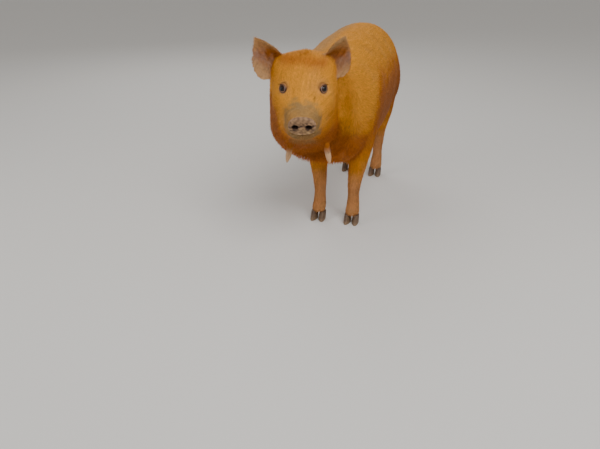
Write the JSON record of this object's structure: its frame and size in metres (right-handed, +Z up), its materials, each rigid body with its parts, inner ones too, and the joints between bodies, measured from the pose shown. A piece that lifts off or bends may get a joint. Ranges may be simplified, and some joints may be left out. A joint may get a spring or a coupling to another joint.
{
  "type": "kunekune pig",
  "caption": "Still, life-size model of a young ginger kunekune pig that stands with its head up, ears pricked and wattles under its throat.",
  "frame": {"origin": "on the floor, under the middle of the box round the whole pig", "axes": "+Z up from the floor, -Y the way the pig's body faces, +X to the pig's left"},
  "size_m": [0.2958, 0.8528, 0.5342],
  "materials": {
    "coat": "bristly ginger hair, deeper rust below",
    "muzzle_skin": "short haired skin with dried mud",
    "snout_skin": "bare moist skin with dried mud",
    "ear_skin": "thin skin with fine pale hair",
    "wattle_skin": "smooth pale skin with sparse hair",
    "eye": "wet and glossy, dark brown",
    "horn": "dull dark horn, worn pale at the edges"
  },
  "bodies": {
    "root": {"head": "coat", "neck": "coat", "chest": "coat", "barrel": "coat", "rump": "coat", "tail": "coat", "foreleg_left_upper": "coat", "foreleg_left_lower": "coat", "foreleg_right_upper": "coat", "foreleg_right_lower": "coat", "hindleg_left_upper": "coat", "hindleg_left_lower": "coat", "hindleg_right_upper": "coat", "hindleg_right_lower": "coat", "muzzle": "muzzle_skin", "lower_jaw": "muzzle_skin", "snout_disc": "snout_skin", "ear_left": "ear_skin", "eye_left": "eye", "wattle_left": "wattle_skin", "ear_right": "ear_skin", "eye_right": "eye", "wattle_right": "wattle_skin", "foreleg_left_claw_inner": "horn", "foreleg_left_dewclaw_inner": "horn", "foreleg_left_claw_outer": "horn", "foreleg_left_dewclaw_outer": "horn", "foreleg_right_claw_inner": "horn", "foreleg_right_dewclaw_inner": "horn", "foreleg_right_claw_outer": "horn", "foreleg_right_dewclaw_outer": "horn", "hindleg_left_claw_inner": "horn", "hindleg_left_dewclaw_inner": "horn", "hindleg_left_claw_outer": "horn", "hindleg_left_dewclaw_outer": "horn", "hindleg_right_claw_inner": "horn", "hindleg_right_dewclaw_inner": "horn", "hindleg_right_claw_outer": "horn", "hindleg_right_dewclaw_outer": "horn"}
  },
  "joints": []
}
